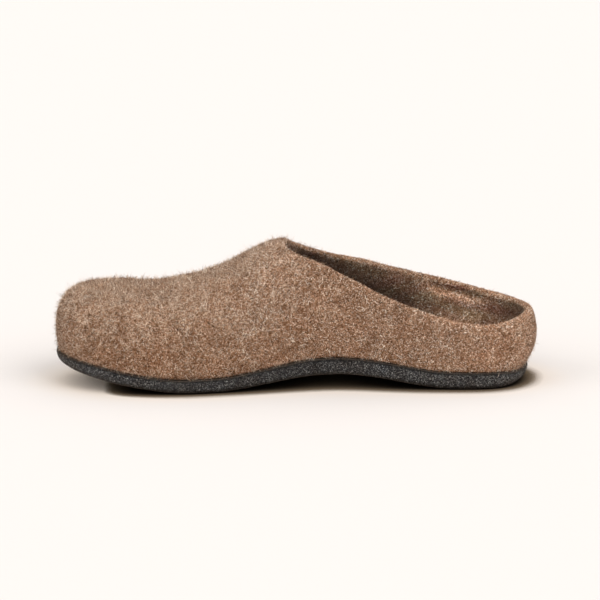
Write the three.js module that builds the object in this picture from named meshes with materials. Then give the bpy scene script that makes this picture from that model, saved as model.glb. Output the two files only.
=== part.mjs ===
// A wool felt slipper for the right foot: a hollow felted upper, an insole and a thick one-piece sole.
// Millimetres. +X points to the toe, +Y to the wearer's left (the inner side of a right foot), +Z up.
import * as THREE from "three";
import { mergeVertices } from "three/addons/utils/BufferGeometryUtils.js";

// Driving dimensions
const shoeLength = 272; // over the felt, from the heel's bulge to the toe
const ballWidth = 100; // over the felt, across the ball of the foot
const instepRise = 73; // from the sole's top to the top of the throat
const feltWall = 6; // thickness of the felted upper
const soleThickness = 9; // at the heel
const archRise = 7.8; // of the sole's underside above the floor, in the waist
const toeSpring = 13.5; // of the sole's underside above the floor, at the tip
const heelLift = 8; // of the sole's underside, at its rounded back end
const soleLedge = 1.3; // of the sole's edge outside the felt's lower edge
const soleEdgeRise = 3.2; // height of the rounding along the sole's lower edge
const soleEdgeReach = 4.5; // how far that rounding reaches in under the sole
const insoleThickness = 4.5;
const insoleCup = 4; // how far the insole's edge stands above its middle
const seatGap = 0.3; // between pieces that lie on each other
const insoleClearance = 0.4; // between the insole's edge and the felt around it

// Places along the shoe, as shares of the length from the heel
const throatAt = 0.54;
const heelCapEnd = 0.14; // the heel's round end runs from 0 to here
const toeCapStart = 0.8; // the toe's round end runs from here to 1
const heelFlat = { from: 0.09, to: 0.19 }; // where the sole lies flat under the heel
const ballFlat = { from: 0.66, to: 0.74 }; // where it lies flat under the ball

// The felt's widest outline seen from above. Columns: the centre line's offset towards the inner side, and
// the reach to the inner and the outer side of it, as shares of the ball width. The round ends scale the reach.
const OUTLINE = [
  { at: 0.0, centre: 0.018, inner: 0.375, outer: 0.375 },
  { at: 0.15, centre: 0.018, inner: 0.375, outer: 0.375 },
  { at: 0.29, centre: 0.008, inner: 0.368, outer: 0.372 },
  { at: 0.43, centre: -0.018, inner: 0.372, outer: 0.388 },
  { at: 0.57, centre: -0.028, inner: 0.432, outer: 0.455 },
  { at: 0.71, centre: 0.0, inner: 0.492, outer: 0.49 },
  { at: 0.81, centre: 0.03, inner: 0.478, outer: 0.462 },
  { at: 0.9, centre: 0.06, inner: 0.45, outer: 0.415 },
  { at: 1.0, centre: 0.09, inner: 0.42, outer: 0.36 },
];
const HEEL_ROUNDNESS = 2.15; // exponent of the round end: 2 is an ellipse, more is blunter
const TOE_ROUNDNESS = 2.35;

// The ridge along the top and the shape of the section below it. Columns: the ridge's height above the sole as a
// share of the instep's, its offset towards the inner side as a share of the ball width, and the section's two
// exponents: a larger wall keeps the sides upright for longer, and a larger top keeps the top flatter.
// Behind the throat the ridge only shapes the side walls, which end at the collar.
const RIDGE = [
  { at: 0.0, height: 0.8, offset: 0.018, wall: 2.05, top: 2.05 },
  { at: 0.13, height: 0.8, offset: 0.018, wall: 2.05, top: 2.05 },
  { at: 0.18, height: 1.15, offset: 0.018, wall: 2.3, top: 2.1 },
  { at: 0.25, height: 1.27, offset: 0.016, wall: 2.4, top: 2.1 },
  { at: 0.33, height: 1.24, offset: 0.016, wall: 2.3, top: 2.1 },
  { at: 0.41, height: 1.15, offset: 0.02, wall: 2.2, top: 2.05 },
  { at: 0.48, height: 1.075, offset: 0.025, wall: 2.1, top: 2.0 },
  { at: 0.54, height: 0.975, offset: 0.03, wall: 2.1, top: 2.0 },
  { at: 0.57, height: 0.945, offset: 0.035, wall: 2.1, top: 2.0 },
  { at: 0.61, height: 0.865, offset: 0.04, wall: 2.2, top: 2.1 },
  { at: 0.65, height: 0.775, offset: 0.045, wall: 2.3, top: 2.2 },
  { at: 0.69, height: 0.715, offset: 0.05, wall: 2.5, top: 2.4 },
  { at: 0.74, height: 0.665, offset: 0.055, wall: 2.7, top: 2.6 },
  { at: 0.79, height: 0.635, offset: 0.06, wall: 3.0, top: 2.8 },
  { at: 0.84, height: 0.642, offset: 0.065, wall: 3.4, top: 2.9 },
  { at: 0.9, height: 0.66, offset: 0.075, wall: 3.7, top: 3.0 },
];

// Height of the collar's edge above the sole on each side, as shares of the instep's.
const COLLAR = [
  { at: 0.0, inner: 0.44, outer: 0.44 },
  { at: 0.03, inner: 0.412, outer: 0.438 },
  { at: 0.07, inner: 0.385, outer: 0.448 },
  { at: 0.13, inner: 0.375, outer: 0.49 },
  { at: 0.19, inner: 0.407, outer: 0.55 },
  { at: 0.25, inner: 0.47, outer: 0.602 },
  { at: 0.3, inner: 0.55, outer: 0.645 },
  { at: 0.36, inner: 0.657, outer: 0.705 },
  { at: 0.42, inner: 0.768, outer: 0.755 },
  { at: 0.47, inner: 0.852, outer: 0.81 },
  { at: 0.505, inner: 0.9, outer: 0.865 },
  { at: 0.527, inner: 0.938, outer: 0.922 },
  { at: 0.54, inner: 0.975, outer: 0.975 },
];

// How far the felt's lower edge lies inside its widest outline, as a share of the ball width.
const TUCK = [
  { at: 0.0, inset: 0.098 },
  { at: 0.08, inset: 0.055 },
  { at: 0.25, inset: 0.032 },
  { at: 0.7, inset: 0.026 },
  { at: 1.0, inset: 0.022 },
];
const tuckTop = 0.48; // share of the section's height at which the felt is widest

// Thickness of the sole, as a share of its thickness at the heel.
const SOLE_TAPER = [
  { at: 0.0, thickness: 0.1 },
  { at: 0.05, thickness: 0.66 },
  { at: 0.1, thickness: 0.97 },
  { at: 0.45, thickness: 1.02 },
  { at: 0.7, thickness: 0.82 },
  { at: 0.93, thickness: 0.76 },
  { at: 1.0, thickness: 0.5 },
];

// How the sections' middles are drawn in from the two ends, so that the ends close as round caps
const HEEL_FAN = { at: 0.3, pull: 0.44 };
const TOE_FAN = { at: 0.7, pull: 0.35 };

// Steps of the surfaces
const HEEL_STEPS = 9;
const COLLAR_STEPS = 10;
const THROAT_STEPS = 7;
const VAMP_STEPS = 10;
const TOE_STEPS = 11;
const THROAT_ZONE = 0.11; // the stretch behind the throat with closer steps
const WALL_ROWS = 14;
const RIM_ROWS = 6;
const ROUNDING_STEPS = 3;
const SOLE_SHARES = [0, 0.5, 0.88]; // where rings run between the sole's middle line and its edge
const INSOLE_SHARES = [0, 0.45, 0.8];
const PROFILE_SAMPLES = 60;

// A smooth curve through one column of a table.
function curveThrough(rows, column) {
  const last = rows.length - 1;
  const slopes = rows.map((_, i) => {
    const before = rows[Math.max(i - 1, 0)];
    const after = rows[Math.min(i + 1, last)];
    return (after[column] - before[column]) / (after.at - before.at);
  });
  return (at) => {
    let i = 0;
    while (i < last - 1 && at > rows[i + 1].at) i += 1;
    const span = rows[i + 1].at - rows[i].at;
    const t = THREE.MathUtils.clamp((at - rows[i].at) / span, 0, 1);
    const rise = t * t * (3 - 2 * t);
    return (
      rows[i][column] * (1 - rise) +
      rows[i + 1][column] * rise +
      span * (slopes[i] * t * (1 - t) * (1 - t) - slopes[i + 1] * t * t * (1 - t))
    );
  };
}

const centreShare = curveThrough(OUTLINE, "centre");
const reachShare = { inner: curveThrough(OUTLINE, "inner"), outer: curveThrough(OUTLINE, "outer") };
const ridgeHeight = curveThrough(RIDGE, "height");
const ridgeOffset = curveThrough(RIDGE, "offset");
const wallExponent = curveThrough(RIDGE, "wall");
const topExponent = curveThrough(RIDGE, "top");
const collarShare = { inner: curveThrough(COLLAR, "inner"), outer: curveThrough(COLLAR, "outer") };
const tuckShare = curveThrough(TUCK, "inset");
const soleShare = curveThrough(SOLE_TAPER, "thickness");

const xOf = (at) => (at - 0.5) * shoeLength;
const atOf = (x) => x / shoeLength + 0.5;

// 1 along the shoe, falling to 0 at the heel and the toe as a rounded end does.
function roundEnds(at) {
  const intoHeel = Math.max(0, 1 - at / heelCapEnd);
  const intoToe = Math.max(0, (at - toeCapStart) / (1 - toeCapStart));
  const heel = (1 - intoHeel ** HEEL_ROUNDNESS) ** (1 / HEEL_ROUNDNESS);
  const toe = (1 - Math.min(intoToe, 1) ** TOE_ROUNDNESS) ** (1 / TOE_ROUNDNESS);
  return heel * toe;
}

// Height of the sole's underside: flat under heel and ball, arched between them, sprung at the toe.
function underside(x) {
  const at = atOf(x);
  const intoArch = THREE.MathUtils.clamp((at - heelFlat.to) / (ballFlat.from - heelFlat.to), 0, 1);
  const intoToe = Math.max(0, (at - ballFlat.to) / (1 - ballFlat.to));
  const intoHeel = Math.max(0, 1 - at / heelFlat.from);
  return (
    archRise * Math.sin(Math.PI * intoArch) ** 1.7 +
    toeSpring * intoToe ** 1.4 +
    heelLift * intoHeel ** 2
  );
}

const soleTop = (x) => underside(x) + soleThickness * soleShare(atOf(x));
const upperBase = (x) => soleTop(x) + seatGap;
const sectionBase = soleThickness * soleShare(ballFlat.from); // the sole's top at the ball

// Where the middle of the section that starts at a place of the outline lies along the shoe.
function middleAt(at) {
  const heelwards = Math.max(0, HEEL_FAN.at - at);
  const toewards = Math.max(0, at - TOE_FAN.at);
  return (
    at +
    (HEEL_FAN.pull * heelwards ** 2) / HEEL_FAN.at -
    (TOE_FAN.pull * toewards ** 2) / (1 - TOE_FAN.at)
  );
}

// One half section: a vertical plane from a point of the outline in to the ridge.
function halfSection(at, side) {
  const sign = side === "inner" ? 1 : -1;
  const reach = reachShare[side](at) * roundEnds(at);
  const foot = new THREE.Vector2(xOf(at), ballWidth * (centreShare(at) + sign * reach));
  const middle = middleAt(at);
  const ridge = new THREE.Vector2(xOf(middle), ballWidth * ridgeOffset(middle));
  const outward = foot.clone().sub(ridge);
  return {
    at,
    side,
    ridge,
    reach: outward.length(),
    outward: outward.normalize(),
    ridgeZ: sectionBase + instepRise * ridgeHeight(middle),
    wall: wallExponent(middle),
    top: topExponent(middle),
    tuck: ballWidth * tuckShare(at),
  };
}

const pointAt = (half, radius, z) =>
  new THREE.Vector3(
    half.ridge.x + half.outward.x * radius,
    half.ridge.y + half.outward.y * radius,
    z,
  );

// A point of the felt's surface at a share of the section's height. The depth is how far the surface lies
// inside the outer one.
function feltSurface(half, share, depth) {
  const reach = half.reach - depth;
  const round = (1 - Math.min(share, 1) ** half.wall) ** (1 / half.top);
  const tucked = Math.max(0, 1 - share / tuckTop) ** 2;
  const foot = upperBase(pointAt(half, reach - half.tuck, 0).x);
  return pointAt(half, reach * round - half.tuck * tucked, foot + (half.ridgeZ - depth - foot) * share);
}

// Share of the section's height at which the felt ends: the collar's edge, or the ridge ahead of the throat.
function topShare(half) {
  if (half.at >= throatAt) return 1;
  const base = upperBase(xOf(half.at));
  const edge = sectionBase + instepRise * collarShare[half.side](half.at);
  return Math.min(1, (edge - base) / (half.ridgeZ - base));
}

// Points up the felt from its lower edge to its top, evenly spaced along the surface.
function feltRows(half, depth) {
  const full = Math.asin(topShare(half) ** (half.wall / 2));
  const fine = Array.from({ length: PROFILE_SAMPLES + 1 }, (_, i) => {
    const angle = full * (i / PROFILE_SAMPLES) ** 1.7;
    return feltSurface(half, Math.sin(angle) ** (2 / half.wall), depth);
  });
  const along = [0];
  fine.slice(1).forEach((p, i) => along.push(along[i] + p.distanceTo(fine[i])));
  return Array.from({ length: WALL_ROWS + 1 }, (_, row) => {
    const target = (along[PROFILE_SAMPLES] * row) / WALL_ROWS;
    const i = Math.max(1, along.findIndex((length) => length >= target - 1e-9));
    const t = (target - along[i - 1]) / (along[i] - along[i - 1]);
    return fine[i - 1].clone().lerp(fine[i], t);
  });
}

// Stations along the shoe, close together where it turns.
function stations() {
  const places = [];
  const capEnd = heelCapEnd;
  for (let i = 0; i < HEEL_STEPS; i += 1)
    places.push(capEnd * (1 - Math.cos((i / HEEL_STEPS) * (Math.PI / 2))));
  const zoneStart = throatAt - THROAT_ZONE;
  for (let i = 0; i < COLLAR_STEPS; i += 1)
    places.push(capEnd + ((zoneStart - capEnd) * i) / COLLAR_STEPS);
  for (let i = THROAT_STEPS; i > 0; i -= 1)
    places.push(throatAt - THROAT_ZONE * (i / THROAT_STEPS) ** 1.6);
  for (let i = 0; i < VAMP_STEPS; i += 1)
    places.push(throatAt + ((toeCapStart - throatAt) * i) / VAMP_STEPS);
  for (let i = 0; i <= TOE_STEPS; i += 1)
    places.push(toeCapStart + (1 - toeCapStart) * Math.sin((i / TOE_STEPS) * (Math.PI / 2)));
  return places;
}

// The half sections in order round the shoe: from the toe along the inner side to the heel, and back along the
// outer side. Each end has one section of its own.
const places = stations();
const inward = [...places].reverse().map((at) => halfSection(at, "inner"));
const outward = places.slice(1, -1).map((at) => halfSection(at, "outer"));
const halves = [...inward, ...outward];

// A closed mesh made of bands between rings of points, where points that fall together are one vertex.
class Skin {
  constructor() {
    this.corners = [];
  }

  triangle(a, b, c) {
    const same = (p, q) => p.distanceToSquared(q) < 1e-8;
    if (same(a, b) || same(b, c) || same(c, a)) return;
    this.corners.push(...a.toArray(), ...b.toArray(), ...c.toArray());
  }

  // Joins two rings, each with one point for each half section, where the section has that band.
  band(lower, upper, has = () => true) {
    lower.forEach((_, i) => {
      const next = (i + 1) % lower.length;
      if (!has(i, next)) return;
      this.triangle(lower[i], lower[next], upper[next]);
      this.triangle(lower[i], upper[next], upper[i]);
    });
  }

  geometry() {
    const loose = new THREE.BufferGeometry();
    loose.setAttribute("position", new THREE.Float32BufferAttribute(this.corners, 3));
    return mergeVertices(loose, 1e-3);
  }
}

// Rings over all half sections, from one list of points for each of them.
const ringsOf = (columns) => columns[0].map((_, row) => columns.map((column) => column[row]));

// The collar's rounded rim: half a turn from the outer surface's top edge to the inner one's.
function rimRings(outerEdge, innerEdge, open) {
  const rim = halves.map((_, i) => i).filter((i) => open[i]);
  const middles = outerEdge.map((p, i) => p.clone().add(innerEdge[i]).multiplyScalar(0.5));
  const rings = Array.from({ length: RIM_ROWS - 1 }, () => outerEdge.map((p) => p.clone()));
  rim.forEach((i, place) => {
    // The first and the last column meet at the throat, so their neighbours there are each other's.
    const before = rim[place === 0 ? rim.length - 2 : place - 1];
    const after = rim[place === rim.length - 1 ? 1 : place + 1];
    const along = middles[after].clone().sub(middles[before]);
    const across = outerEdge[i].clone().sub(middles[i]);
    const away = new THREE.Vector3().crossVectors(across, along).setLength(feltWall / 2);
    rings.forEach((ring, row) => {
      const angle = (Math.PI * (row + 1)) / RIM_ROWS;
      ring[i] = middles[i]
        .clone()
        .addScaledVector(across, Math.cos(angle))
        .addScaledVector(away, Math.sin(angle));
    });
  });
  return rings;
}

function upperGeometry() {
  const outer = ringsOf(halves.map((half) => feltRows(half, 0)));
  const inner = ringsOf(halves.map((half) => feltRows(half, feltWall)));
  const open = halves.map((half) => half.at <= throatAt);
  const rim = rimRings(outer[WALL_ROWS], inner[WALL_ROWS], open);
  const skin = new Skin();
  const wall = (rings) => rings.slice(1).forEach((ring, row) => skin.band(rings[row], ring));
  wall(outer);
  wall([...inner].reverse());
  skin.band(inner[0], outer[0]);
  const top = [outer[WALL_ROWS], ...rim, inner[WALL_ROWS]];
  top.slice(1).forEach((ring, row) => skin.band(top[row], ring, (i, next) => open[i] && open[next]));
  return skin.geometry();
}

// A ring at a distance inside the felt's widest outline. The share draws it in towards the middle line.
const ringAt = (inset, share, height) =>
  halves.map((half) => {
    const p = pointAt(half, (half.reach - inset(half)) * share, 0);
    p.z = height(p.x);
    return p;
  });

// A solid from rings that start and end on its middle line.
function solidFrom(rings) {
  const skin = new Skin();
  rings.slice(1).forEach((ring, row) => skin.band(rings[row], ring));
  return skin.geometry();
}

function soleGeometry() {
  const edgeRise = (x) => Math.min(soleEdgeRise, 0.8 * (soleTop(x) - underside(x)));
  const edge = (half) => half.tuck - soleLedge;
  const rounding = Array.from({ length: ROUNDING_STEPS + 1 }, (_, i) => {
    const angle = (i / ROUNDING_STEPS) * (Math.PI / 2);
    return ringAt(
      (half) => edge(half) + soleEdgeReach * (1 - Math.sin(angle)),
      1,
      (x) => underside(x) + edgeRise(x) * (1 - Math.cos(angle)),
    );
  });
  const under = SOLE_SHARES.map((share) =>
    ringAt((half) => edge(half) + soleEdgeReach, share, underside),
  );
  const top = [...SOLE_SHARES, 1].reverse().map((share) => ringAt(edge, share, soleTop));
  return solidFrom([...under, ...rounding, ...top]);
}

// The insole is cupped at the heel and the arch, and flat at the toe.
const cupAt = (x) => insoleCup * THREE.MathUtils.smoothstep(1 - atOf(x), 0.2, 0.55);

function insoleGeometry() {
  const depth = feltWall + insoleClearance;
  const bottom = halves.map((half) => feltSurface(half, 0, depth));
  const rise = (x) => insoleThickness + cupAt(x);
  const edge = halves.map((half, i) =>
    feltSurface(half, rise(bottom[i].x) / (half.ridgeZ - depth - bottom[i].z), depth),
  );
  const across = INSOLE_SHARES.map((share) =>
    halves.map((half, i) => {
      const p = pointAt(half, 0, 0).lerp(edge[i], share);
      p.z = upperBase(p.x) + insoleThickness + cupAt(p.x) * share ** 4;
      return p;
    }),
  );
  const under = INSOLE_SHARES.map((share) =>
    halves.map((half, i) => {
      const p = pointAt(half, 0, 0).lerp(bottom[i], share);
      p.z = upperBase(p.x);
      return p;
    }),
  );
  return solidFrom([...under, bottom, edge, ...across.reverse()]);
}

const felt = (colour) =>
  new THREE.MeshStandardMaterial({ color: colour, roughness: 0.95, metalness: 0 });

const upper = new THREE.Mesh(upperGeometry(), felt(0x98785f));
upper.name = "upper";
const insole = new THREE.Mesh(insoleGeometry(), felt(0x7d6250));
insole.name = "insole";
const sole = new THREE.Mesh(soleGeometry(), felt(0x403e3b));
sole.name = "sole";

// The slipper stands on the floor with the origin under the middle of its box.
const slipper = new THREE.Group();
slipper.add(sole, insole, upper);
const box = new THREE.Box3().setFromObject(slipper);
const middle = box.getCenter(new THREE.Vector3());
slipper.position.set(-middle.x, -middle.y, -box.min.z);

export default slipper;
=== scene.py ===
import math

import bmesh
import bpy
import numpy as np
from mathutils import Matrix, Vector, noise


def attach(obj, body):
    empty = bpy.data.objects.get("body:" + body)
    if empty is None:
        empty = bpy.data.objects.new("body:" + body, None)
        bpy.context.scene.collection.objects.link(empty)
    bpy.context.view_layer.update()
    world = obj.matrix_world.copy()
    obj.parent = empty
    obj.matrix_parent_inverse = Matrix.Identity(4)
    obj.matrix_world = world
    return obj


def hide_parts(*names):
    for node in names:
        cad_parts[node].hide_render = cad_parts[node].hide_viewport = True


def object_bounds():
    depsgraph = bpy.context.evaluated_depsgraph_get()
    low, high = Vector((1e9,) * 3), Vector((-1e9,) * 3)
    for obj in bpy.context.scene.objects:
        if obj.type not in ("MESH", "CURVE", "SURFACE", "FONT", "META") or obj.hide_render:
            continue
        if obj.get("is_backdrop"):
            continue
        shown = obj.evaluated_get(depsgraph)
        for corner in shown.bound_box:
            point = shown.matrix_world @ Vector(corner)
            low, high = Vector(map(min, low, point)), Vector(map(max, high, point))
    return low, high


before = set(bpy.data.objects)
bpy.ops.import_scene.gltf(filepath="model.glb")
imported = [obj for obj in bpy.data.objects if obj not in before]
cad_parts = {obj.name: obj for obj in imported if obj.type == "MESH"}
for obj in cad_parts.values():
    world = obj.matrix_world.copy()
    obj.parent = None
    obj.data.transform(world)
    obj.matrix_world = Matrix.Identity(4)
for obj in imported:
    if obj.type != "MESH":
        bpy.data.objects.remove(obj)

# A brown wool felt slipper with a felt insole and a charcoal sole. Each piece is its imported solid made
# smooth and a little uneven, and wool fibres lie on the upper and on the sole's side.
# Metres; +X to the toe, +Y to the shoe's inner side, +Z up.
MM = 0.001
LOW, HIGH = (Vector(corner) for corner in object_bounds())
SEED = 7
BLACK, WHITE = (0, 0, 0, 1), (1, 1, 1, 1)
# The mesh attribute that holds by how much the colour is multiplied at each vertex: painted light and shade,
# and tints.
SHADE = "shade"


def linear(red, green, blue):
    """A colour given as screen values from 0 to 255."""
    return (*(((c / 255 + 0.055) / 1.055) ** 2.4 for c in (red, green, blue)), 1)


def rise(values, start, span):
    """0 up to start, 1 from start + span on. With a negative span it rises the other way."""
    return np.clip((values - start) / span, 0, 1)


def between(a, b, share):
    """From a to b by the share."""
    return a + share * (b - a)


def hump(values):
    """1 at 0, and soft on both sides."""
    return np.exp(-(values**2))


# Objects
def new_object(name, data):
    made = bpy.data.objects.new(name, data)
    bpy.context.scene.collection.objects.link(made)
    return made


def turn_from(thing, back):
    """Turns a camera or a light so that back points away from what it faces."""
    thing.rotation_mode = "QUATERNION"
    thing.rotation_quaternion = (-back).to_track_quat("-Z", "Y")


def dress(piece, slot, *nodes):
    """The piece rides on the body and stands for its nodes, whose imported parts are hidden. slot is not used.
    """
    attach(piece, "root")
    if nodes:
        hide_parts(*nodes)


# The camera. The photograph is 600 pixels square, and the slipper is 482 pixels long in it.
PHOTO_WIDTH = 600
PHOTO_SHOE_LENGTH = 482
CAMERA_ELEVATION = math.radians(12)
CAMERA_DISTANCE = 3.0
CAMERA_AIM = Vector((-1.7 * MM, 0, 43.5 * MM))
CAMERA_CLIP = (0.1, 100)
SENSOR_MILLIMETRES = 36


def place_camera():
    """The camera looks at the slipper's inner side from a little above, with the toe on the left."""
    back = Vector((0, math.cos(CAMERA_ELEVATION), math.sin(CAMERA_ELEVATION)))
    frame_width = (HIGH.x - LOW.x) * PHOTO_WIDTH / PHOTO_SHOE_LENGTH
    data = bpy.data.cameras.new("camera")
    data.sensor_width = SENSOR_MILLIMETRES
    data.lens = SENSOR_MILLIMETRES * CAMERA_DISTANCE / frame_width
    data.clip_start, data.clip_end = CAMERA_CLIP
    camera = new_object("camera", data)
    camera.location = CAMERA_AIM + back * CAMERA_DISTANCE
    turn_from(camera, back)
    bpy.context.scene.camera = camera


# Materials
AO_SAMPLES = 8


class Nodes:
    """Short calls for building a material's nodes. A value can be a plain one or another node's output."""

    def __init__(self, name):
        self.material = bpy.data.materials.new(name)
        self.material.use_nodes = True
        self.tree = self.material.node_tree
        self.shader = self.tree.nodes["Principled BSDF"]

    def feed(self, socket, value):
        if isinstance(value, bpy.types.NodeSocket):
            self.tree.links.new(value, socket)
        else:
            socket.default_value = value

    def add(self, kind, inputs=(), **settings):
        """A node with its settings and inputs."""
        node = self.tree.nodes.new("ShaderNode" + kind)
        for key, value in settings.items():
            setattr(node, key, value)
        for key, value in dict(inputs).items():
            self.feed(node.inputs[key], value)
        return node

    def math(self, operation, a, b):
        return self.add("Math", {0: a, 1: b}, operation=operation).outputs[0]

    def noise(self, size, seed, detail=2.0, stretch=(1, 1, 1), turn=(0, 0, 0)):
        """Noise whose features are about size metres wide, and longer along an axis by its stretch."""
        place = self.add("TexCoord").outputs["Object"]
        turned = self.add("Mapping", {"Vector": place, "Rotation": turn, "Location": (seed, seed, seed)})
        scale = [1 / (size * long) for long in stretch]
        scaled = self.add("VectorMath", {0: turned.outputs[0], 1: scale}, operation="MULTIPLY")
        made = self.add("TexNoise", {"Vector": scaled.outputs[0], "Scale": 1.0, "Detail": detail})
        return made.outputs["Fac"]

    def mix(self, share, a, b, blend="MIX"):
        """Colour a turning into colour b, or into their blend, by the share."""
        made = self.add("Mix", {0: share, 6: a, 7: b}, data_type="RGBA", blend_type=blend)
        return made.outputs[2]

    def tint(self, a, b):
        """Colour a times colour b."""
        return self.mix(1.0, a, b, "MULTIPLY")

    def ramp(self, share, *stops):
        """The colour between stops, each a place from 0 to 1 and a colour."""
        made = self.add("ValToRGB", {"Fac": share})
        band = made.color_ramp
        for _ in stops[2:]:
            band.elements.new(0.5)
        for element, (place, colour) in zip(band.elements, stops):
            element.position = place
            element.color = colour
        return made.outputs["Color"]

    def openness(self, reach):
        """1 in the open, and less where something stands within reach."""
        return self.add("AmbientOcclusion", {"Distance": reach}, samples=AO_SAMPLES).outputs["AO"]

    def set(self, **inputs):
        """Sets the shader's own sockets, named with underscores for spaces."""
        for key, value in inputs.items():
            self.feed(self.shader.inputs[key.replace("_", " ")], value)


# Streaks of fibre in the felt, and the turns about X, Y and Z that make them lie in all directions.
STREAK_WIDTH = 0.35 * MM
STREAK_STRETCH = (9, 1, 1)
STREAK_TURNS = ((0.2, 0.5, 0.3), (0.4, 1.3, 1.2), (0.1, -0.6, 2.0), (1.0, 0.2, -0.5))
FLECK_SIZE = 0.9 * MM
# Where the felt's dark, middle and light wool stand in the noise.
WOOL_STOPS = (0.4, 0.5, 0.6)
BUMP_STRENGTH, BUMP_HEIGHT = 0.9, 0.9 * MM
WOOL_SHEEN = linear(222, 200, 180)
# Soft patches of wool of other shades: their size, and the values of the noise between which they fade.
DARK_PATCHES = (8 * MM, 0.34, 0.56)
WARM_PATCHES = (15 * MM, 0.46, 0.72)
GREY_PATCHES = (10 * MM, 0.5, 0.76)
DARK_TINT = (0.8, 0.76, 0.73, 1)
PATCH_DETAIL = 5
PATCH_STRENGTH = 0.42


def wool_flecks(nodes, seed):
    """A value that varies as matted fibres do: streaks that lie in all directions, and small flecks."""
    values = [
        nodes.noise(STREAK_WIDTH, seed + i, 1.0, STREAK_STRETCH, turn) for i, turn in enumerate(STREAK_TURNS)
    ]
    values.append(nodes.noise(FLECK_SIZE, seed + 0.5))
    total = values[0]
    for value in values[1:]:
        total = nodes.math("ADD", total, value)
    return nodes.math("MULTIPLY", total, 1 / len(values))


def tinted(nodes, colour, warm, grey, seed):
    """The colour times the painted light, shade and tints kept on the mesh, in soft patches that are darker,
    warmer or greyer.
    """

    def patches(layout, offset, low_colour=BLACK):
        size, low, high = layout
        return nodes.ramp(nodes.noise(size, seed + offset, PATCH_DETAIL), (low, low_colour), (high, WHITE))

    def patched(colour, patch_tint, where):
        share = nodes.math("MULTIPLY", where, PATCH_STRENGTH)
        return nodes.mix(share, colour, nodes.tint(colour, patch_tint))

    shade = nodes.add("Attribute", attribute_name=SHADE).outputs["Color"]
    colour = nodes.tint(nodes.tint(colour, patches(DARK_PATCHES, 0.1, DARK_TINT)), shade)
    colour = patched(colour, warm, patches(WARM_PATCHES, 0.2))
    return patched(colour, grey, patches(GREY_PATCHES, 0.3))


def felt_material(name, dark, middle, light, warm, grey, seed):
    """Matted wool: flecks of dark and light fibre."""
    nodes = Nodes(name)
    flecks = wool_flecks(nodes, seed)
    colour = nodes.ramp(flecks, *zip(WOOL_STOPS, (dark, middle, light)))
    bump = nodes.add("Bump", {"Height": flecks, "Strength": BUMP_STRENGTH, "Distance": BUMP_HEIGHT})
    nodes.set(
        Base_Color=tinted(nodes, colour, warm, grey, seed),
        Roughness=1.0,
        Specular_IOR_Level=0.1,
        Sheen_Weight=0.25,
        Sheen_Roughness=0.6,
        Sheen_Tint=WOOL_SHEEN,
        Normal=bump.outputs[0],
    )
    return nodes.material


def fibre_material(name, shades, warm, grey, seed):
    """Single wool fibres, each of one shade, in the same soft patches as the felt that they lie on."""
    nodes = Nodes(name)
    chance = nodes.add("NewGeometry").outputs["Random Per Island"]
    step = 1 / (len(shades) - 1)
    colour = nodes.ramp(chance, *((i * step, shade) for i, shade in enumerate(shades)))
    nodes.set(Base_Color=tinted(nodes, colour, warm, grey, seed), Roughness=0.9, Specular_IOR_Level=0.1)
    return nodes.material


# Shapes
WELD_DISTANCE = 0.002 * MM
JOINED_FACES = math.radians(60)
SHARP_EDGE = math.radians(55)


def smooth_copy(node, name, levels, edge_hold):
    """A finer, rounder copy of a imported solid. Its sharp edges stay as far as edge_hold says."""
    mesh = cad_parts[node].data.copy()
    mesh.name = name
    shape = bmesh.new()
    shape.from_mesh(mesh)
    bmesh.ops.remove_doubles(shape, verts=shape.verts, dist=WELD_DISTANCE)
    bmesh.ops.join_triangles(
        shape, faces=shape.faces, angle_face_threshold=JOINED_FACES, angle_shape_threshold=math.pi
    )
    crease = shape.edges.layers.float.new("crease_edge")
    for edge in shape.edges:
        if edge.calc_face_angle(0) > SHARP_EDGE:
            edge[crease] = edge_hold
    shape.to_mesh(mesh)
    shape.free()
    piece = new_object(name, mesh)
    finer = piece.modifiers.new("finer", "SUBSURF")
    finer.levels = finer.render_levels = levels
    evaluated = piece.evaluated_get(bpy.context.evaluated_depsgraph_get())
    piece.data = bpy.data.meshes.new_from_object(evaluated)
    piece.modifiers.clear()
    piece.data.name = name
    piece.data.materials.clear()
    for face in piece.data.polygons:
        face.use_smooth = True
    return piece


def lumps(place, *layers):
    """Soft noise: the sum of layers, each a height, a size and a seed."""
    return sum(
        height * noise.noise(place / size + Vector((seed, seed * 2, seed * 3))) for height, size, seed in layers
    )


def vectors(vertices, name):
    """The vertices' places ("co") or normals ("normal") as rows of an array."""
    values = np.empty(len(vertices) * 3)
    vertices.foreach_get(name, values)
    return values.reshape(-1, 3)


def surface(piece):
    """The places and normals of the piece's vertices."""
    vertices = piece.data.vertices
    return vectors(vertices, "co"), vectors(vertices, "normal")


def move_out(piece, distances):
    """Moves each vertex along its normal by its distance, from the places and normals."""
    places, normals = surface(piece)
    moved = places + normals * distances(places, normals)[:, None]
    piece.data.vertices.foreach_set("co", moved.ravel())
    piece.data.update()


def each_place(distance):
    """The distances for move_out, from one place at a time."""
    return lambda places, normals: np.array([distance(Vector(place)) for place in places])


def keep_painted_light_or_tint(mesh, colours):
    """Keeps by how much the colour is multiplied at each vertex, for its material: painted light and shade, or
    a tint.
    """
    rows = mesh.attributes.new(SHADE, "FLOAT_VECTOR", "POINT")
    rows.data.foreach_set("vector", colours.astype(np.float32).ravel())


def in_grey(lightness):
    """Rows of red, green and blue, all equal."""
    return np.repeat(lightness[:, None], 3, axis=1)


# Fibres. Their sizes vary, and the caps keep off stray long or standing ones. The most length and rise are
# multiples of the middle ones, and the fall is how much of its rise a fibre loses towards its tip.
SIZE_SPREAD = 0.35
MOST_LENGTH = 1.7
MOST_RISE = 1.6
MOST_BEND = 1.5
FALL = (0.3, 1.0)
ROOT_DEPTH = 0.05 * MM
FLOOR_GAP = 0.05 * MM
LEAST_LENGTH = 1e-12


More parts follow.
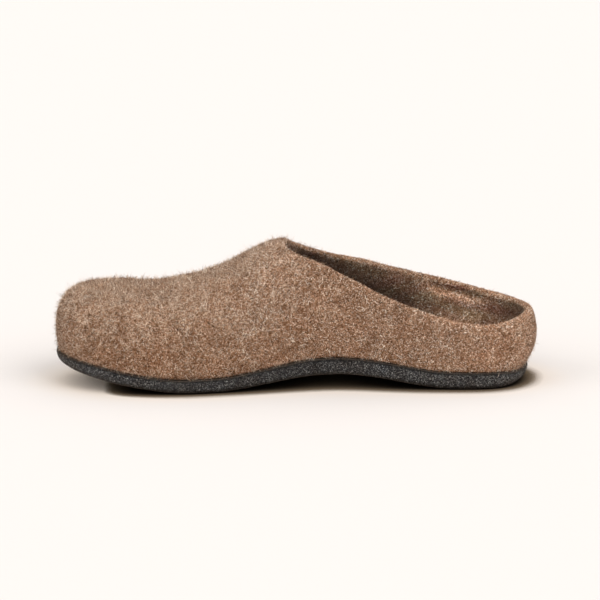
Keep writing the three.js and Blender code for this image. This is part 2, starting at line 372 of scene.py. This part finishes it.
def unit(rows):
    """The rows as directions of length 1."""
    return rows / np.maximum(np.linalg.norm(rows, axis=1, keepdims=True), LEAST_LENGTH)


def triangle_soup(piece):
    """The piece's triangles: corners, unit normals of their corners, and areas."""
    mesh = piece.data
    mesh.calc_loop_triangles()
    corners = np.empty(len(mesh.loop_triangles) * 3, dtype=np.int32)
    mesh.loop_triangles.foreach_get("vertices", corners)
    places, normals = (rows[corners.reshape(-1, 3)] for rows in surface(piece))
    cross = np.cross(places[:, 1] - places[:, 0], places[:, 2] - places[:, 0])
    return places, normals, np.linalg.norm(cross, axis=1) / 2


def ribbons(name, points, steps):
    """A mesh of narrow ribbons. The points of each are pairs on its two edges, one a step, and its tip."""
    count, per_ribbon = points.shape[:2]
    first = (np.arange(count) * per_ribbon)[:, None]
    quads = [first + [2 * i, 2 * i + 1, 2 * i + 3, 2 * i + 2] for i in range(steps - 1)]
    tips = first + [per_ribbon - 3, per_ribbon - 2, per_ribbon - 1]
    corners = np.concatenate([part.ravel() for part in (*quads, tips)])
    sizes = np.concatenate([np.full(count * len(quads), 4), np.full(count, 3)])
    mesh = bpy.data.meshes.new(name)
    mesh.vertices.add(count * per_ribbon)
    mesh.vertices.foreach_set("co", points.astype(np.float32).ravel())
    mesh.loops.add(len(corners))
    mesh.loops.foreach_set("vertex_index", corners.astype(np.int32))
    mesh.polygons.add(len(sizes))
    mesh.polygons.foreach_set("loop_start", np.concatenate([[0], np.cumsum(sizes)[:-1]]).astype(np.int32))
    mesh.update(calc_edges=True)
    return mesh


def fibres(name, piece, material, seed, where, shades, count, length, width, lift, steps=1, curl=0.7):
    """Wool fibres on a piece: narrow ribbons that start in its surface, lie along it and curl.

    where gives the chance of a fibre, and shades the painted light and shade at its root as a colour, from the
    places and normals of the surface. length and width are the middle values in metres, and lift is how steeply
    the fibres rise.
    """
    chance = np.random.default_rng(SEED + seed)
    places, normals, areas = triangle_soup(piece)
    weights = areas * where(places.mean(axis=1), unit(normals.mean(axis=1)))
    picked = chance.choice(len(areas), count, p=weights / weights.sum())
    across = np.sort(chance.random((count, 2)), axis=1)
    shares = np.stack([across[:, 0], across[:, 1] - across[:, 0], 1 - across[:, 1]], axis=1)[:, :, None]
    root = (places[picked] * shares).sum(axis=1)
    out = unit((normals[picked] * shares).sum(axis=1))
    along = unit(np.cross(out, chance.normal(size=(count, 3))))
    side = np.cross(out, along)
    one_each = (count, 1)
    long = length * np.minimum(chance.lognormal(0, SIZE_SPREAD, one_each), MOST_LENGTH)
    wide = width * chance.lognormal(0, SIZE_SPREAD, one_each)
    bend = np.clip(chance.normal(0, curl, one_each), -MOST_BEND, MOST_BEND)
    long /= np.sqrt(1 + bend**2)
    climb = np.minimum(np.abs(chance.normal(0, lift, one_each)), MOST_RISE * lift)
    fall = chance.uniform(*FALL, one_each)
    edges = []
    for t in (i / steps for i in range(steps + 1)):
        height = climb * (t - fall * t * t)
        centre = root + long * (along * t + side * bend * t * t + out * height) - out * ROOT_DEPTH * (1 - t)
        heading = unit(along + side * 2 * bend * t + out * climb * (1 - 2 * fall * t))
        half = unit(np.cross(heading, out)) * wide * 0.5 * (1 - t**2)
        edges.append(np.stack([centre - half, centre + half], axis=1))
    tip = centre[:, None]
    points = np.concatenate([*edges[:-1], tip], axis=1)
    points[:, :, 2] = np.maximum(points[:, :, 2], LOW.z + FLOOR_GAP)
    mesh = ribbons(name, points, steps)
    keep_painted_light_or_tint(mesh, np.repeat(shades(root, out), points.shape[1], axis=0))
    mesh.materials.append(material)
    return new_object(name, mesh)


# The felt upper. Its body lies under the nap, and its broad waves are calmer near the sole.
WARM_WOOL = (1.0, 0.84, 0.73, 1)
GREY_WOOL = (0.86, 0.95, 1.04, 1)
NAP_DEPTH = 0.5 * MM
BROAD_WAVES = ((0.7 * MM, 34 * MM, 1.3), (0.35 * MM, 13 * MM, 4.1))
SMALL_LUMPS = (0.16 * MM, 4.5 * MM, 8.7)
CALM_HEIGHT, CALM_FADE, CALMEST = 7 * MM, 12 * MM, 0.25

# A fold on the outer wall's inner side: its line, how high the ridge stands, how deep the trough over it is,
# how wide they are, how much flatter the ridge is below the line, and how many widths over it the trough is.
FOLD_FROM = np.array((-105, -30, 34.8)) * MM
FOLD_TO = np.array((-72, -31, 43.4)) * MM
FOLD_RIDGE, FOLD_TROUGH, FOLD_WIDTH = 2.0 * MM, 1.7 * MM, 2.0 * MM
FOLD_FLATTER = 3
TROUGH_OVER = 1.8
# The fold is whole this far from its middle and then fades, as shares of its length.
FOLD_WHOLE, FOLD_FADE = 0.25, 5 / 14
FOLD_THICKNESS = 7 * MM
OUTER_WALL = -20 * MM
# Painted highlight on the fold's ridge and painted shade in its trough, as shares of the wool's lightness.
RIDGE_PAINTED_LIGHT, TROUGH_PAINTED_SHADE = 0.45, 0.5

# Painted light and shade inside the upper, as how light the wool is there, by the place from heel to toe in
# millimetres: shaded at the heel's back and towards the throat, lit in between.
INSIDE_PAINTED_LIGHT = (
    (-126, 0.6),
    (-112, 0.95),
    (-96, 1.5),
    (-80, 1.55),
    (-62, 1.0),
    (-40, 0.7),
    (-10, 0.45),
    (40, 0.1),
)
# The height of the collar's edge on the outer side, by the place along the shoe, in millimetres.
FAR_RIM = ((-130, 45), (-90, 50), (-40, 63), (10, 77))
# Painted shade: the wool gets darker with the depth under that edge, and more so from the heel end towards the
# throat.
DEEP_PAINTED_SHADE = 0.7
DEEP_FROM, DEEP_FADE = 5 * MM, 13 * MM
DEEP_PLACE, DEEP_PLACE_FADE = -95 * MM, 35 * MM

# Tints of the wool outside at the toe, outside at the heel and inside, and how much the last one varies.
TOE_TINT = np.array((0.97, 0.935, 0.915))
HEEL_TINT = np.array((1.04, 1.07, 1.12))
TINT_FROM, TINT_SPAN = 50 * MM, -90 * MM
INSIDE_TINT = np.array((1.1, 1.17, 1.3))
INSIDE_MOTTLING = np.array((0.08, 0.22, 0.17))
MOTTLE_LENGTH, MOTTLE_HEIGHT = 5.5 * MM, 3.5 * MM
# Painted light on surfaces that face up: the rim, behind its front end, and the toe's top in front of that.
RIM_PAINTED_LIGHT = 1.2
TOP_PAINTED_LIGHT = 1.15
RIM_END = 12 * MM
UPWARD_FROM, UPWARD_SPAN = 0.2, 0.5
# Painted light on the outside towards the heel.
HEEL_PAINTED_LIGHT = 0.25
HEEL_FROM, HEEL_SPAN = -55 * MM, -70 * MM

# A place's distance from the shoe's middle times how far its normal points away from there says whether it
# faces in. Distance along the shoe counts less, and so does a surface that turns up to the rim.
ALONG_WEIGHT = 0.35
FACING_SPAN = 14 * MM
UPTURNED_SPAN = 0.5
# A surface counts as the upper's inner side where it faces in by more than this share.
FACES_IN = 0.1
# The chance of fibres on the inner side, behind the throat's place and in front of it. There are none
# underneath, where the surface faces down by more than this.
THROAT = 20 * MM
BEHIND_THROAT, PAST_THROAT = 0.8, 0.02
UNDERNEATH = -0.85
# The chance of loose fuzz: over the toe and the instep, and more at the toe's tip and the lower edge.
FUZZ_FROM, FUZZ_SPAN = -25 * MM, 50 * MM
TIP_FROM, TIP_SPAN = 110 * MM, 20 * MM
LOWER_EDGE_FROM, LOWER_EDGE_SPAN = -0.2, -0.3
FUZZ_EVERYWHERE, FUZZ_AT_TIP, FUZZ_AT_LOWER_EDGE = 0.12, 0.4, 0.35


def fold_place(places, normals):
    """How high over the fold's line each place is, in its widths, and how far the fold reaches there."""
    line = FOLD_TO - FOLD_FROM
    share = (places - FOLD_FROM) @ line / (line @ line)
    away = places - FOLD_FROM - line * np.clip(share, 0, 1)[:, None]
    whole = 1 - rise(np.abs(share - 0.5), FOLD_WHOLE, FOLD_FADE)
    on_wall = (normals[:, 1] > 0) & (places[:, 1] < OUTER_WALL)
    return away[:, 2] / FOLD_WIDTH, whole * hump(away[:, 1] / FOLD_THICKNESS) * on_wall


def fold_height(places, normals):
    """A soft ridge, wide below its line and steep above it, with a trough over it."""
    over, reach = fold_place(places, normals)
    ridge = hump(np.where(over < 0, over / FOLD_FLATTER, over))
    return reach * (FOLD_RIDGE * ridge - FOLD_TROUGH * hump(over - TROUGH_OVER))


def upper_unevenness(place):
    """Felt shaped by hand: broad soft waves and smaller lumps."""
    calm = min(max((place.z - LOW.z - CALM_HEIGHT) / CALM_FADE, CALMEST), 1)
    return calm * lumps(place, *BROAD_WAVES) + lumps(place, SMALL_LUMPS) - NAP_DEPTH


def facing_in(places, normals):
    """How far the surface faces the middle of the shoe: 0 outside, 1 on the inner side of the walls."""
    out_from_middle = places[:, 0] * normals[:, 0] * ALONG_WEIGHT + places[:, 1] * normals[:, 1]
    return rise(out_from_middle, 0, -FACING_SPAN) * (1 - rise(normals[:, 2], 0, UPTURNED_SPAN))


def along_shoe(places, table):
    """The table's value at each place. Its rows are a place from heel to toe in millimetres and a value."""
    stations, values = np.array(table).T
    return np.interp(places[:, 0], stations * MM, values)


def mottling(places):
    """Soft patches on the wall, from -1 to 1: waves along it and up it, each bent by the other."""
    along, up = places[:, 0] / MOTTLE_LENGTH, places[:, 2] / MOTTLE_HEIGHT
    return np.sin(along * 0.7 + 1.7 * np.sin(up)) * np.sin(up * 0.8 + 1.3 * np.sin(along * 0.6))


def wool_painted_light_and_tints(places, normals):
    """Painted light and shade: the wool is lighter on top, on the rim, at the heel and on the fold's ridge, and
    darker in the fold's trough, deep under the rim and towards the throat.

    It is greyer towards the heel, and mottled inside.
    """
    x, upward = places[:, 0], rise(normals[:, 2], UPWARD_FROM, UPWARD_SPAN)
    inside = facing_in(places, normals)
    top = np.where(x < RIM_END, RIM_PAINTED_LIGHT, TOP_PAINTED_LIGHT)
    outside_light = 1 + (top - 1) * upward + HEEL_PAINTED_LIGHT * rise(x, HEEL_FROM, HEEL_SPAN)
    depth = along_shoe(places, FAR_RIM) * MM - places[:, 2]
    deep = rise(depth, DEEP_FROM, DEEP_FADE) * rise(x, DEEP_PLACE, DEEP_PLACE_FADE)
    inside_light = along_shoe(places, INSIDE_PAINTED_LIGHT) * (1 - DEEP_PAINTED_SHADE * deep)
    over, reach = fold_place(places, normals)
    fold = reach * (RIDGE_PAINTED_LIGHT * hump(over) - TROUGH_PAINTED_SHADE * hump(over - TROUGH_OVER))
    lightness = between(outside_light, inside_light, inside) * (1 + fold)
    outside_tint = between(TOE_TINT, HEEL_TINT, rise(x, TINT_FROM, TINT_SPAN)[:, None])
    inside_tint = INSIDE_TINT + mottling(places)[:, None] * INSIDE_MOTTLING
    return lightness[:, None] * between(outside_tint, inside_tint, inside[:, None])


def in_sight(places, normals):
    """The chance of fibres on the outer side, the rim and the inner side, and hardly on hidden parts."""
    inside = facing_in(places, normals) > FACES_IN
    inner_chance = np.where(places[:, 0] < THROAT, BEHIND_THROAT, PAST_THROAT)
    return (normals[:, 2] > UNDERNEATH) * np.where(inside, inner_chance, 1.0)


def on_top(places, normals):
    """The chance of loose fuzz, which stands on the toe and the instep, and along the lower edge."""
    x, up = places[:, 0], normals[:, 2]
    outside = facing_in(places, normals) < FACES_IN
    standing = FUZZ_EVERYWHERE + np.clip(up, 0, 1) + FUZZ_AT_TIP * rise(x, TIP_FROM, TIP_SPAN)
    lower_edge = rise(up, LOWER_EDGE_FROM, LOWER_EDGE_SPAN) * outside
    weight = standing * rise(x, FUZZ_FROM, FUZZ_SPAN) + FUZZ_AT_LOWER_EDGE * lower_edge
    return in_sight(places, normals) * weight


def make_upper():
    shell = smooth_copy("upper", "felt_shell", levels=2, edge_hold=0.35)
    move_out(shell, each_place(upper_unevenness))
    move_out(shell, fold_height)
    # The wool's painted light and shade, and its tints, kept on the mesh.
    keep_painted_light_or_tint(shell.data, wool_painted_light_and_tints(*surface(shell)))
    brown = felt_material(
        "brown_felt",
        dark=linear(28, 16, 10),
        middle=linear(116, 82, 58),
        light=linear(196, 156, 126),
        warm=WARM_WOOL,
        grey=GREY_WOOL,
        seed=0,
    )
    shell.data.materials.append(brown)
    dress(shell, "felt", "upper")
    nap_shades = (
        linear(10, 6, 4),
        linear(88, 60, 41),
        linear(144, 106, 79),
        linear(188, 148, 119),
        linear(255, 240, 218),
    )
    fuzz_shades = (linear(64, 44, 32), linear(186, 154, 128), linear(255, 244, 226))
    nap = fibre_material("wool_fibres", nap_shades, WARM_WOOL, GREY_WOOL, 0)
    fuzz = fibre_material("wool_fuzz", fuzz_shades, WARM_WOOL, GREY_WOOL, 0)
    # Each row ends with the count, length, width, lift, steps and curl of its fibres.
    layers = (
        ("wool_nap_fine", nap, 1, in_sight, 195000, 0.95 * MM, 0.32 * MM, 0.35, 1, 0.7),
        ("wool_nap_short", nap, 2, in_sight, 195000, 0.8 * MM, 0.36 * MM, 0.6, 1, 0.7),
        ("wool_nap_curled", nap, 3, in_sight, 62000, 2.0 * MM, 0.2 * MM, 0.4, 2, 1.2),
        ("wool_fuzz", fuzz, 4, on_top, 46000, 2.8 * MM, 0.12 * MM, 1.1, 2, 1.2),
    )
    for name, material, seed, where, *sizes in layers:
        dress(fibres(name, shell, material, seed, where, wool_painted_light_and_tints, *sizes), "felt")


# The insole
INSOLE_LIGHTNESS = 0.8
INSOLE_LUMPS = (0.2 * MM, 9 * MM, 2.2)


def make_insole():
    footbed = smooth_copy("insole", "footbed", levels=1, edge_hold=0.5)
    move_out(footbed, each_place(lambda place: lumps(place, INSOLE_LUMPS)))
    keep_painted_light_or_tint(footbed.data, in_grey(np.full(len(footbed.data.vertices), INSOLE_LIGHTNESS)))
    felt = felt_material(
        "insole_felt",
        dark=linear(80, 62, 50),
        middle=linear(138, 114, 98),
        light=linear(176, 152, 136),
        warm=WARM_WOOL,
        grey=GREY_WOOL,
        seed=3,
    )
    footbed.data.materials.append(felt)
    dress(footbed, "insole_felt", "insole")


# The sole. It stays flat where it stands on the floor.
WARM_CHARCOAL = (1.0, 0.86, 0.76, 1)
COOL_CHARCOAL = (0.8, 0.95, 1.1, 1)
SOLE_LUMPS = ((0.3 * MM, 16 * MM, 5.5), (0.15 * MM, 5 * MM, 6.5))
FLAT_HEIGHT, FLAT_FADE = 0.3 * MM, 3 * MM
SIDE_SLOPE = 0.8
# Painted shade on the sole, each with its strength and its place: along the joint with the felt, where the side
# turns under, and at the arch.
JOINT_PAINTED_SHADE, JOINT_FROM, JOINT_SPAN = 0.8, 0.2, 0.5
UNDER_PAINTED_SHADE, UNDER_FROM, UNDER_SPAN = 0.7, -0.15, -0.6
ARCH_PAINTED_SHADE, ARCH_MIDDLE, ARCH_SPREAD = 0.25, -10 * MM, 35 * MM


def sole_unevenness(place):
    off_floor = min(max((place.z - LOW.z - FLAT_HEIGHT) / FLAT_FADE, 0), 1)
    return off_floor * lumps(place, *SOLE_LUMPS)


def on_side(places, normals):
    """The chance of fibres, which lie on the sole's side alone."""
    return (np.abs(normals[:, 2]) < SIDE_SLOPE) * 1.0


def sole_painted_shade(places, normals):
    """Painted shade: the charcoal is darker along the joint with the felt, where the side turns under, and at
    the arch.
    """
    joint = rise(normals[:, 2], JOINT_FROM, JOINT_SPAN)
    under = rise(normals[:, 2], UNDER_FROM, UNDER_SPAN)
    arch = hump((places[:, 0] - ARCH_MIDDLE) / ARCH_SPREAD)
    return in_grey((1 - JOINT_PAINTED_SHADE * joint - UNDER_PAINTED_SHADE * under) * (1 - ARCH_PAINTED_SHADE * arch))


def make_sole():
    sole = smooth_copy("sole", "soft_sole", levels=2, edge_hold=0.75)
    move_out(sole, each_place(sole_unevenness))
    keep_painted_light_or_tint(sole.data, sole_painted_shade(*surface(sole)))
    felt = felt_material(
        "charcoal_sole",
        dark=linear(8, 9, 10),
        middle=linear(38, 39, 42),
        light=linear(86, 87, 89),
        warm=WARM_CHARCOAL,
        grey=COOL_CHARCOAL,
        seed=6,
    )
    sole.data.materials.append(felt)
    dress(sole, "sole", "sole")
    nap_shades = (linear(2, 3, 4), linear(26, 27, 30), linear(50, 52, 56), linear(190, 188, 184))
    charcoal = fibre_material("charcoal_fibres", nap_shades, WARM_CHARCOAL, COOL_CHARCOAL, 6)
    nap = fibres("sole_nap", sole, charcoal, 20, on_side, sole_painted_shade, 60000, 0.9 * MM, 0.3 * MM, 0.25)
    dress(nap, "sole")


# The floor. Close to the slipper it has a painted dark contact shadow, which reaches less far under the lifted
# toe, and further out a painted warm bounce of light that tints and brightens it. Both are given by how open a
# place is.
FLOOR_HALF = 12
FLOOR_COLOUR = (0.84, 0.81, 0.8, 1)
PAINTED_CONTACT_SHADOW = ((0.22, (0.012, 0.01, 0.008, 1)), (0.74, (0.18, 0.145, 0.11, 1)), (0.95, FLOOR_COLOUR))
CONTACT_REACH = {"From Min": 60 * MM, "From Max": 118 * MM, "To Min": 11.5 * MM, "To Max": 5.5 * MM}
PAINTED_WARM_BOUNCE = ((0.5, (1.15, 1.07, 0.97, 1)), (0.9, WHITE))
WARM_REACH = 35 * MM


def make_floor():
    mesh = bpy.data.meshes.new("floor")
    half = FLOOR_HALF
    corners = [(-half, -half, 0), (half, -half, 0), (half, half, 0), (-half, half, 0)]
    mesh.from_pydata(corners, [], [(0, 1, 2, 3)])
    nodes = Nodes("pale_floor")
    place = nodes.add("SeparateXYZ", {0: nodes.add("TexCoord").outputs["Object"]})
    reach = nodes.add("MapRange", {"Value": place.outputs["X"], **CONTACT_REACH}).outputs[0]
    contact = nodes.ramp(nodes.openness(reach), *PAINTED_CONTACT_SHADOW)
    painted_bounce = nodes.ramp(nodes.openness(WARM_REACH), *PAINTED_WARM_BOUNCE)
    nodes.set(Base_Color=nodes.tint(contact, painted_bounce), Roughness=0.9, Specular_IOR_Level=0.0)
    mesh.materials.append(nodes.material)
    new_object("floor", mesh)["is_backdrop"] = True


# The light: a pale world and wide soft suns, each with its strength, and its size, azimuth and elevation in
# degrees. At azimuth 180 the light comes from the camera's side, and at 90 from the toe's.
WORLD_COLOUR = (1.0, 0.965, 0.92, 1)
WORLD_STRENGTH = 0.72
SUN_COLOUR = (1, 0.99, 0.975)
SUNS = (
    ("key", 0.66, 50, 186, 38),
    ("toe_side", 0.72, 50, 114, 26),
    ("heel_side", 0.95, 50, 228, 42),
    ("behind", 0.3, 60, 10, 55),
)


def make_light():
    world = bpy.data.worlds.new("studio")
    world.use_nodes = True
    sky = world.node_tree.nodes["Background"]
    sky.inputs["Color"].default_value = WORLD_COLOUR
    sky.inputs["Strength"].default_value = WORLD_STRENGTH
    bpy.context.scene.world = world
    for name, strength, size, azimuth, elevation in SUNS:
        data = bpy.data.lights.new(name, "SUN")
        data.energy = strength
        data.angle = math.radians(size)
        data.color = SUN_COLOUR
        a, e = math.radians(azimuth), math.radians(elevation)
        back = Vector((math.sin(a) * math.cos(e), -math.cos(a) * math.cos(e), math.sin(e)))
        turn_from(new_object(name, data), back)
    bpy.context.scene.view_settings.view_transform = "Standard"


place_camera()
make_upper()
make_insole()
make_sole()
make_floor()
make_light()

bpy.context.view_layer.update()
